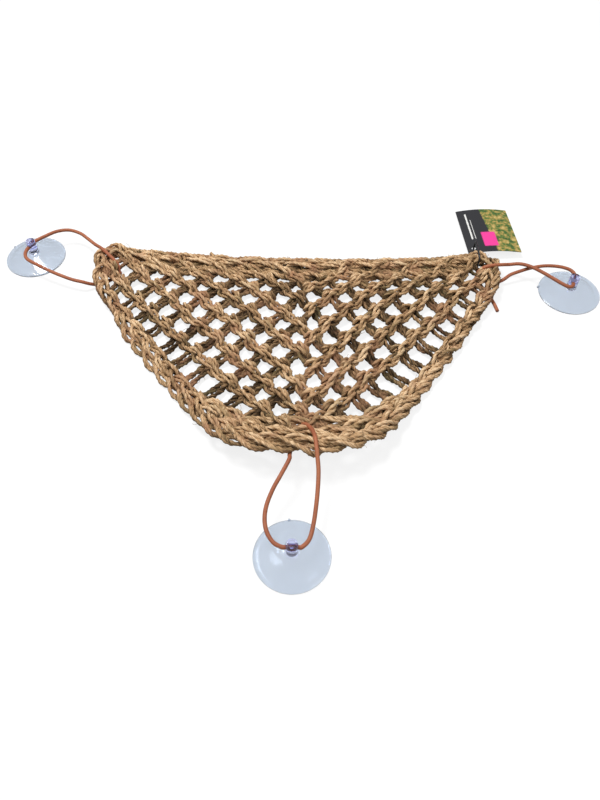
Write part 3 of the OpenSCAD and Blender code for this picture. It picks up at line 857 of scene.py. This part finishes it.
BORDER_TURN, TOP_OVERLAP = 7.0, 4.0
ROPE_PERIOD = 44.0
LOWER_ROPE_OUT, UPPER_ROPE_OUT = 1.5, 5.0
TOP_PLAIT_W, TOP_PLAIT_IN, TOP_TWIST_IN = 11.0, 7.6, 2.6
BINDING_REACH, LOWER_BINDING_REACH, BINDING_DROP = 134.0, 126.0, 4.6
edge = inset_outline([half, half, half_lip, half, half, half])
border = np.vstack([edge[:1] + (BORDER_TURN, 0), edge, edge[-1:] - (BORDER_TURN, 0)])
top_reach = -border[0][0] + TOP_OVERLAP
binding_y = TOP_Y - PLAIT_W - GAP - BINDING_W / 2
lip_slope = 2 * LIP_RISE * (LIP_REACH - LIP_PLAIT_W) / LIP_REACH**2
lip_pitch = (LIP_PLAIT_W + GAP) / math.hypot(1, lip_slope)
second_row = lip_row(half_lip + lip_pitch)
lower_rope = lip_row(half_lip + 2 * lip_pitch - LOWER_ROPE_OUT)
upper_rope = lip_row(half_lip + 3 * lip_pitch - UPPER_ROPE_OUT, UPPER_ROW_REACH)

rows = plait(border, border_width, PLAIT_PERIOD, EDGE_TONE)
rows += twisted_cord(loose_edge(), swing=2.5, period=31.0, height=0.6, tone=LOOSE_TONE, girth=0.8)
twine("side_and_lip_plait", rows, ["border_plait"], LONG_LAY)
rows = plait(second_row, steady(LIP_PLAIT_W), PLAIT_PERIOD, EDGE_TONE)
# The lower rope's dark tone is painted shade, as under the upper rope that lies higher beside it; the upper
# rope is lighter.
rows += twisted_cord(lower_rope, swing=1.9, period=ROPE_PERIOD, height=1.0, tone=0.26)
rows += twisted_cord(upper_rope, swing=1.8, period=ROPE_PERIOD, height=3.0, tone=0.56)
twine("second_lip_plait", rows, ["lip_plait"], LONG_LAY)
rows = plait(level(TOP_Y - TOP_PLAIT_IN, top_reach), steady(TOP_PLAIT_W), TOP_PERIOD, TOP_TONE)
rows += twisted_cord(level(TOP_Y - TOP_TWIST_IN, top_reach), swing=0.9, period=TOP_PERIOD, height=1.0,
                     tone=TOP_TONE, girth=1.05)
twine("top_edge_plait", rows, ["top_plait"], LONG_LAY)
rows = twisted_cord(level(binding_y, BINDING_REACH), swing=1.6, period=23.0, height=1.2, tone=0.4)
rows += twisted_cord(level(binding_y - BINDING_DROP, LOWER_BINDING_REACH), swing=2.3, period=31.0, height=2.4,
                     tone=0.42, girth=0.9)
twine("top_binding", rows, ["top_binding_cord"])

# Net courses and pairs
# Two sets of strands cross at a slant. On its own side of the middle a course is two strands that twine round
# each pair they cross; beyond the middle they run on as a bare pair under the courses of the other side.
NET_INSET, NET_LIP_INSET = 5.0, 14.0
COURSE_STEP, LEAST_POINTS = 0.09, 8
COURSE_END, COURSE_DROP = 0.75, 2.0
PAIR_SPREAD = 1.85
PAIR_GIRTH, COURSE_GIRTH = 1.22, 1.55
END_GIRTH, END_REACH, END_SPREAD = 0.42, 20.0, 0.9
END_LIFT, END_LIFT_REACH = 0.7, 5.0
PAIR_LOW, PAIR_HUMP = 0.75, 1.7
TWINE_SWING, TWINE_DEPTH, TWINE_H = 2.0, 2.3, 2.9
# The dark strand in the middle of a twined course is painted shade in the crease between its two strands.
TWINE_CORE_H, TWINE_CORE_GIRTH, TWINE_CORE_PAINTED_SHADE = 1.8, 1.0, 0.12
TWINE_CORE_FROM = 0.1
NET_SWING_WAVER, NET_RISE_WAVER = 0.5, 0.25
# Bare pairs are painted darker than the courses over them, and a course's strands lighter at the top of each
# turn: painted light and shade.
PAIR_TONE, COURSE_PAINTED_LIGHT, COURSE_CREST_PAINTED_LIGHT = 0.23, 0.29, 0.16
NET_TONE_CHANCE, NET_TONE_WAVE = 0.14, 50.0

# Each slow wave that pulls the net about: its length across and up the net, and its start
PULL = 0.75
PULL_X = ((9.1, 13.7, 0.0), (-21.0, 8.3, 1.9))
PULL_Y = ((15.1, 9.7, 0.7), (8.9, -19.0, 2.6))
LEFT_COURSES = (-11, -9, -7, -5, -3, -1, 1)
RIGHT_COURSES = (9, 7, 5, 3, 1, -1)
LEFT_PAIRS = (-3, -5, -7, -9, -11, -13, -15)
RIGHT_PAIRS = (3, 5, 7, 9, 11, 13)
net_reach = inset_outline([NET_INSET, NET_INSET, NET_LIP_INSET, NET_INSET, NET_INSET, NET_INSET])


def within(p, d, limit):
    """Where the line p + k * d enters and leaves a convex outline."""
    a, b = limit, np.roll(limit, -1, 0)
    n = np.stack([a[:, 1] - b[:, 1], b[:, 0] - a[:, 0]], 1)
    slope = n @ d
    live = np.abs(slope) > 1e-3
    k = ((n * (a - p)).sum(1)[live]) / slope[live]
    return k[slope[live] > 0].max(), k[slope[live] < 0].min()


def pulled(flat):
    """The net as the hand left it: no gap is quite like its neighbour."""
    x, y = flat[:, 0], flat[:, 1]
    shifts = [sum(np.sin(x / a + y / b + start) for a, b, start in waves) for waves in (PULL_X, PULL_Y)]
    return flat + PULL * np.stack(shifts, 1)


def slanting_line(lean, m):
    """A line of the net, falling to the right where lean is 1: a crossing, the step to the next, its ends."""
    p = np.array([MESH_X0 + MESH_X * m, MESH_Y0])
    d = np.array([lean * MESH_X, -MESH_Y])
    return p, d, *within(p, d, net_reach)


def net_cord(lean, m, twined):
    """The two strands of one cord of the net, with a dark strand between them where it is a twined course,
    which is painted shade in the crease between them.
    """
    p, d, first, last = slanting_line(lean, m)
    k = np.arange(first, last, COURSE_STEP)
    if len(k) < LEAST_POINTS:
        return []
    flat = pulled(p + k[:, None] * d)
    side = unit(np.array([-d[1], d[0]]))
    s = k * np.linalg.norm(d)
    from_start, to_end = s - s[0], s[-1] - s
    beyond = ease((m + lean * k + COURSE_END) * COURSE_DROP)
    up = (1 - beyond if lean > 0 else beyond) if twined else np.zeros_like(k)
    ends = np.exp(-from_start / END_LIFT_REACH) + np.exp(-to_end / END_LIFT_REACH)
    near_end = np.exp(-(from_start / END_REACH) ** 2) + np.exp(-(to_end / END_REACH) ** 2)
    pair_rise = PAIR_LOW + PAIR_HUMP * (0.5 + 0.5 * np.cos(FULL_TURN * k)) + ends * END_LIFT
    pair_girth = PAIR_GIRTH - END_GIRTH * near_end * (1 - up)
    girth = pair_girth + (COURSE_GIRTH - PAIR_GIRTH) * up
    out = []
    for sign in (1, -1):
        a = math.pi * (k + (0 if sign > 0 else 1))
        spread = sign * (PAIR_SPREAD + END_SPREAD * near_end)
        shift = (1 - up) * spread + up * TWINE_SWING * np.sin(a) + waver(s, NET_SWING_WAVER)
        rise = up * (TWINE_H + TWINE_DEPTH * np.cos(a)) + (1 - up) * pair_rise + waver(s, NET_RISE_WAVER)
        # Painted light and shade: lighter where a course rises, darker on its dips and on the low bare pairs.
        tone = PAIR_TONE + up * (COURSE_PAINTED_LIGHT + COURSE_CREST_PAINTED_LIGHT * np.cos(a))
        tone = tone + NET_TONE_CHANCE * (rng.random() - 0.5) + waver(s, TONE_WAVER, NET_TONE_WAVE)
        place = flat + side * shift[:, None]
        out.append((laid(place, lifted(rise, girth, place)), tone, girth))
    if twined:
        middle = flat[up > TWINE_CORE_FROM]
        rise = lifted(np.full(len(middle), TWINE_CORE_H), TWINE_CORE_GIRTH, middle)
        out.append((laid(middle, rise), TWINE_CORE_PAINTED_SHADE, TWINE_CORE_GIRTH))
    return out


COLLAR_R, COLLAR_R_LEAST, COLLAR_R_MORE = 3.6, 0.9, 0.25
COLLAR_H, COLLAR_GIRTH = 1.6, 1.15
COLLAR_OFF, COLLAR_DRIFT = 4.6, 0.8
COLLAR_ARC, COLLAR_POINTS = 115, 13
COLLAR_SLANT, COLLAR_UPRIGHT = 1.6, 0.2
# A collar is painted lighter at its top and darker down its sides: painted light and shade.
COLLAR_TONE, COLLAR_CREST_PAINTED_LIGHT, COLLAR_TONE_CHANCE = 0.38, 0.14, 0.2
COLLAR_TOP, COLLAR_END, COLLAR_MIDDLE = 88.0, 0.4, 0.5


def collars(lean, m):
    """The turn that a course takes round each pair it crosses, on the upper side."""
    p, d, first, last = slanting_line(lean, m)
    along, up_pair = unit(d), unit(np.array([lean * MESH_X, MESH_Y]))
    a = np.radians(np.linspace(-COLLAR_ARC, COLLAR_ARC, COLLAR_POINTS))
    out = []
    for k in range(math.ceil(first + COLLAR_END), math.floor(last - COLLAR_END) + 1):
        if lean * (m + lean * k + COLLAR_MIDDLE) > 0 or MESH_Y0 - MESH_Y * k > COLLAR_TOP:
            continue
        at = p + k * d + up_pair * (COLLAR_OFF + COLLAR_DRIFT * (rng.random() - 0.5))
        reach = COLLAR_R * (COLLAR_R_LEAST + COLLAR_R_MORE * rng.random())
        slant = COLLAR_SLANT * (rng.random() - COLLAR_UPRIGHT)
        flat = pulled(at + np.outer(reach * np.sin(a), along) + np.outer(slant * np.sin(a), up_pair))
        height = COLLAR_H + reach * np.cos(a)
        # Painted light and shade: lighter at the top of the turn, darker down its sides.
        tone = COLLAR_TONE + COLLAR_CREST_PAINTED_LIGHT * np.cos(a) + COLLAR_TONE_CHANCE * rng.random()
        out.append((laid(flat, lifted(height, COLLAR_GIRTH, flat)), tone, COLLAR_GIRTH))
    return out


def many(lean, courses, twined):
    """The strands of a set of courses or pairs, then the turns round the pairs that courses cross."""
    lines = [line for m in courses for line in net_cord(lean, m, twined)]
    return lines + [line for m in courses if twined for line in collars(lean, m)]


for side, lean, courses in (("left", 1, LEFT_COURSES), ("right", -1, RIGHT_COURSES)):
    nodes = [f"{side}_course_{i}" for i in range(1, len(courses) + 1)]
    twine(f"{side}_twined_courses", many(lean, courses, True), nodes)
for side, lean, pairs in (("left", -1, LEFT_PAIRS), ("right", 1, RIGHT_PAIRS)):
    twine(f"{side}_bare_pairs", many(lean, pairs, False), [f"{side}_cross_pairs"], LONG_LAY)

# Stray fibres
# Dry seagrass sheds short stiff ends all along the twine. They stand out from the plies at random and curl a
# little at the tip.
FIBRE_R, FIBRE_SIDES, FIBRE_STEPS = 0.11, 3, 5
FIBRE_POINTS = {"Start": (0, 0, 0), "Start Handle": (0, 0, 1.4), "End Handle": (0.6, 0, 2.6),
                "End": (2.4, 0.5, 2.9)}
FIBRE_SLOPE = 0.5
FIBRE_LEAN, FIBRE_SPIN = 0.5, 6.28
FIBRE_SHORTEST, FIBRE_LONGEST = 0.35, 1.25
FIBRE_DENSITY, FIBRE_SEED = 9000, 3
FIBRED_PIECES = ("side_and_lip_plait", "top_edge_plait", "left_twined_courses", "right_twined_courses")
STRAW_SHADES = [(0.3, (0.10, 0.065, 0.03)), (0.5, (0.30, 0.20, 0.10)), (0.7, (0.55, 0.40, 0.23))]

fibre_tree, wire = new_tree("stray_fibres", ["Density", "Seed", "Material"])
tree = fibre_tree
facing = node(tree, "ShaderNodeSeparateXYZ", {0: node(tree, "GeometryNodeInputNormal")}, output="Z")
upward = facing.maths("GREATER_THAN", facing, FIBRE_SLOPE)
spots = node(tree, "GeometryNodeDistributePointsOnFaces",
             {"Mesh": wire["Geometry"], "Selection": upward,
              "Density": wire["Density"], "Seed": wire["Seed"]})
bend = {name: tuple(c * MM for c in point) for name, point in FIBRE_POINTS.items()}
stem = node(tree, "GeometryNodeCurvePrimitiveBezierSegment", {"Resolution": FIBRE_STEPS, **bend})
section = node(tree, "GeometryNodeCurvePrimitiveCircle",
               {"Resolution": FIBRE_SIDES, "Radius": FIBRE_R * MM}, mode="RADIUS")
stem = node(tree, "GeometryNodeCurveToMesh", {"Curve": stem, "Profile Curve": section})
lean = node(tree, "FunctionNodeRandomValue",
            {"Min": (-FIBRE_LEAN, -FIBRE_LEAN, 0.0), "Max": (FIBRE_LEAN, FIBRE_LEAN, FIBRE_SPIN),
             "Seed": wire["Seed"]}, data_type="FLOAT_VECTOR")
stature = node(tree, "FunctionNodeRandomValue",
               {2: FIBRE_SHORTEST, 3: FIBRE_LONGEST, "Seed": wire["Seed"]}, output=1, data_type="FLOAT")
turn = node(tree, "FunctionNodeRotateRotation",
            {"Rotation": spots.other("Rotation"), "Rotate By": lean}, rotation_space="LOCAL")
hairs = node(tree, "GeometryNodeInstanceOnPoints",
             {"Points": spots, "Instance": stem, "Rotation": turn, "Scale": stature})
close_tree(tree, hairs, wire["Material"])

straw, tree = new_finish("stray_seagrass")
place = node(tree, "ShaderNodeTexCoord", output="Object")
straw_colour = shades(tree, noise(tree, place, scale=160.0), STRAW_SHADES)
surface_shader(tree, {"Base Color": straw_colour, "Roughness": 0.7})

for seed, name in enumerate(FIBRED_PIECES, FIBRE_SEED):
    carrier = bpy.data.objects[name].data.copy()
    mesh = grown(carrier, fibre_tree, {"Density": FIBRE_DENSITY, "Seed": seed, "Material": straw})
    fibres = show(f"{name}_fibres", mesh, straw)
    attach(fibres, "net")

# Tag
# A printed card, curled about its length, hangs by one corner on a thin black plastic tie round the top edge.
# The print is a plain design of coloured fields.
TIE_X, TIE_FAR = 138.0, 112.7
CARD_W, CARD_L, CARD_T = 42.0, 53.0, 0.6
CARD_EDGE, CARD_HOLE_R = 5.0, 1.8
CARD_CURL = 110.0
CARD_Z = 6.0
CARD_DIP, CARD_ROLL, CARD_TURN = -2.5, 0.5, 3.0
CELLS_U, CELLS_V = 42, 53
LEAF_SHADES = [(0.3, (0.02, 0.035, 0.012)), (0.45, (0.08, 0.16, 0.03)), (0.55, (0.38, 0.27, 0.07)),
               (0.68, (0.62, 0.47, 0.17))]
CARD_BLACK, CARD_PINK = (0.022, 0.022, 0.026), (0.82, 0.045, 0.30)
LINE_WHITE, LINE_GREY = (0.75, 0.75, 0.72), (0.55, 0.55, 0.53)
BAND, BAND_SLANT, BAND_UNEVEN = (0.56, 1.2), 0.10, 0.02
FIELD_SOFT, LINE_SOFT = 0.01, 0.004
card_turn = Euler([math.radians(angle) for angle in (CARD_DIP, CARD_ROLL, CARD_TURN)], "XYZ")


def card_point(u, v, depth):
    """A point of the card, u across and v along from its hole, depth below its face, on the table."""
    middle = CARD_W / 2 - CARD_EDGE
    r = CARD_CURL - depth
    a = (u - middle) / CARD_CURL
    x = middle + r * math.sin(a)
    z = r * math.cos(a) - CARD_CURL * math.cos(math.asin(middle / CARD_CURL))
    p = Vector((x, v, z))
    p.rotate(card_turn)
    return (p + Vector((TIE_X, TIE_FAR, CARD_Z))) * MM


def card_mesh():
    """The card's sheet as a fine grid with a punched hole, with its own UV map."""
    built = bmesh.new()
    grid = {}
    for side, depth in enumerate((0.0, CARD_T)):
        for i in range(CELLS_U + 1):
            for j in range(CELLS_V + 1):
                u = -CARD_EDGE + CARD_W * i / CELLS_U
                v = -CARD_EDGE + CARD_L * j / CELLS_V
                d = math.hypot(u, v)
                if 1e-6 < d < CARD_HOLE_R:
                    u, v = u * CARD_HOLE_R / d, v * CARD_HOLE_R / d
                grid[side, i, j] = built.verts.new(card_point(u, v, depth))
    layer = built.loops.layers.uv.new("UVMap")

    def add(side, where):
        face = built.faces.new([grid[side, i, j] for i, j in where])
        for loop, (i, j) in zip(face.loops, where):
            loop[layer].uv = (i / CELLS_U, j / CELLS_V)

    hole_i = round(CARD_EDGE / CARD_W * CELLS_U)
    hole_j = round(CARD_EDGE / CARD_L * CELLS_V)
    punched = {(i, j) for i in (hole_i - 1, hole_i) for j in (hole_j - 1, hole_j)}
    for i in range(CELLS_U):
        for j in range(CELLS_V):
            if (i, j) in punched:
                continue
            where = [(i, j), (i + 1, j), (i + 1, j + 1), (i, j + 1)]
            add(0, where)
            add(1, where[::-1])
    bmesh.ops.delete(built, geom=[v for v in built.verts if not v.link_faces], context="VERTS")
    bmesh.ops.bridge_loops(built, edges=[e for e in built.edges if e.is_boundary])
    bmesh.ops.recalc_face_normals(built, faces=built.faces)
    return plain_mesh(built)


printed_card, tree = new_finish("printed_card")
u = node(tree, "ShaderNodeSeparateXYZ", {0: node(tree, "ShaderNodeUVMap", uv_map="UVMap")})
v = u.other("Y")


def field(span, value, soft=FIELD_SOFT):
    """A mask that is one between two values."""
    low, high = span
    rise = ranged(tree, value, low - soft, low + soft)
    fall = ranged(tree, value, high - soft, high + soft)
    return rise * (1 - fall)


def card_marks(across, along, start, detail=2, roughness=0.55):
    """A pattern over the card: how fine it is across and along, and where it starts."""
    return noise(tree, vector(tree, u * across, v * along, start), detail=detail, roughness=roughness)


leafy = card_marks(across=9, along=12, start=0, detail=5, roughness=0.6)
band = field(BAND, u + BAND_SLANT * v + BAND_UNEVEN * leafy)
paper = mixed(tree, band, CARD_BLACK, shades(tree, leafy, LEAF_SHADES))
for colour, across, along, soft in ((CARD_PINK, (0.34, 0.60), (0.12, 0.44), FIELD_SOFT),
                                    (LINE_WHITE, (0.14, 0.17), (0.3, 0.9), LINE_SOFT),
                                    (LINE_GREY, (0.21, 0.225), (0.3, 0.75), LINE_SOFT)):
    paper = mixed(tree, field(across, u, soft) * field(along, v), paper, colour)
surface_shader(tree, {
    "Base Color": paper,
    "Roughness": 0.32 + 0.15 * card_marks(across=40, along=55, start=2),
    "Normal": bumped(tree, card_marks(across=120, along=160, start=5), distance=0.00006, strength=0.4)})

card = show("tag_printed_card", card_mesh(), printed_card, smooth=False)
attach(card, "tag")
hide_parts("tag_card")

# Tag tie
# A thin black plastic strand goes round the top plait and through the card's hole, and its ends are welded.
TIE_R, TIE_SIDES = 0.75, 12
TIE_BOTTOM, TIE_TOP = 1.3, 14.0
TIE_NEAR = 92.5
TIE_CORNER, TIE_CORNER_STEPS = 2.5, 7
TIE_BLACK = (0.012, 0.012, 0.014, 1)

black_plastic, tree = new_finish("black_plastic")
place = node(tree, "ShaderNodeTexCoord", output="Object")
surface_shader(tree, {
    "Base Color": TIE_BLACK,
    "Roughness": 0.3 + 0.25 * noise(tree, place, scale=900.0)})

near, far = TIE_NEAR + TIE_CORNER, TIE_FAR - TIE_CORNER
bottom, top = TIE_BOTTOM + TIE_CORNER, TIE_TOP - TIE_CORNER
ring = []
for y, z, first in ((near, bottom, 180), (far, bottom, 270), (far, top, 0), (near, top, 90)):
    for a in np.radians(np.linspace(first, first + 90, TIE_CORNER_STEPS)):
        ring.append((TIE_X, y + TIE_CORNER * math.cos(a), z + TIE_CORNER * math.sin(a)))
tie_line = np.array(ring + ring[:1]) * MM
tie = show("tag_black_tie", tube(tie_line, TIE_R * MM, TIE_SIDES), black_plastic)
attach(tie, "net")
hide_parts("tag_tie")

# Table and light
# The hammock lies on a white table under large soft lamps, with almost no shadow.
TABLE_HALF, TABLE_Z = 4.0, -0.0004
WHITE = (1, 1, 1, 1)
TABLE_GREY = (0.2, 0.2, 0.2, 1)
TABLE_GLOW = 0.82
ROOM_LIGHT, ROOM_SEEN = 0.34, 0.55

corners = [(TABLE_HALF * x, TABLE_HALF * y, TABLE_Z) for x, y in ((-1, -1), (1, -1), (1, 1), (-1, 1))]
table_mesh = bpy.data.meshes.new("table")
table_mesh.from_pydata(corners, [], [(0, 1, 2, 3)])
table = bpy.data.objects.new("table", table_mesh)
scene.collection.objects.link(table)
white_table, tree = new_finish("white_table")
camera_ray = node(tree, "ShaderNodeLightPath", output="Is Camera Ray")
seen = camera_ray.larger(camera_ray.other("Is Glossy Ray")).larger(camera_ray.other("Is Transmission Ray"))
matt = node(tree, "ShaderNodeBsdfDiffuse", {"Color": TABLE_GREY})
glow = node(tree, "ShaderNodeEmission", {"Color": WHITE, "Strength": seen * TABLE_GLOW})
node(tree, "ShaderNodeOutputMaterial", {"Surface": node(tree, "ShaderNodeAddShader", {0: matt, 1: glow})})
table_mesh.materials.append(white_table)

world = bpy.data.worlds.new("studio")
world.use_nodes = True
scene.world = world
tree = world.node_tree
tree.nodes.clear()
strength = node(tree, "ShaderNodeLightPath", output="Is Camera Ray") * ROOM_SEEN + ROOM_LIGHT
room = node(tree, "ShaderNodeBackground", {"Color": WHITE, "Strength": strength})
node(tree, "ShaderNodeOutputWorld", {"Surface": room})


def lamp(name, place, size, power):
    """A round soft lamp that shines on the middle of the table."""
    light = bpy.data.lights.new(name, "AREA")
    light.shape = "DISK"
    light.size = size
    light.energy = power
    thing = bpy.data.objects.new(name, light)
    thing.location = place
    thing.rotation_euler = (-Vector(place)).to_track_quat("-Z", "Y").to_euler()
    scene.collection.objects.link(thing)


lamp("key", place=(-0.35, 0.3, 1.1), size=0.4, power=13.0)
lamp("fill", place=(0.7, -0.4, 1.0), size=0.6, power=3.5)

bpy.context.view_layer.update()
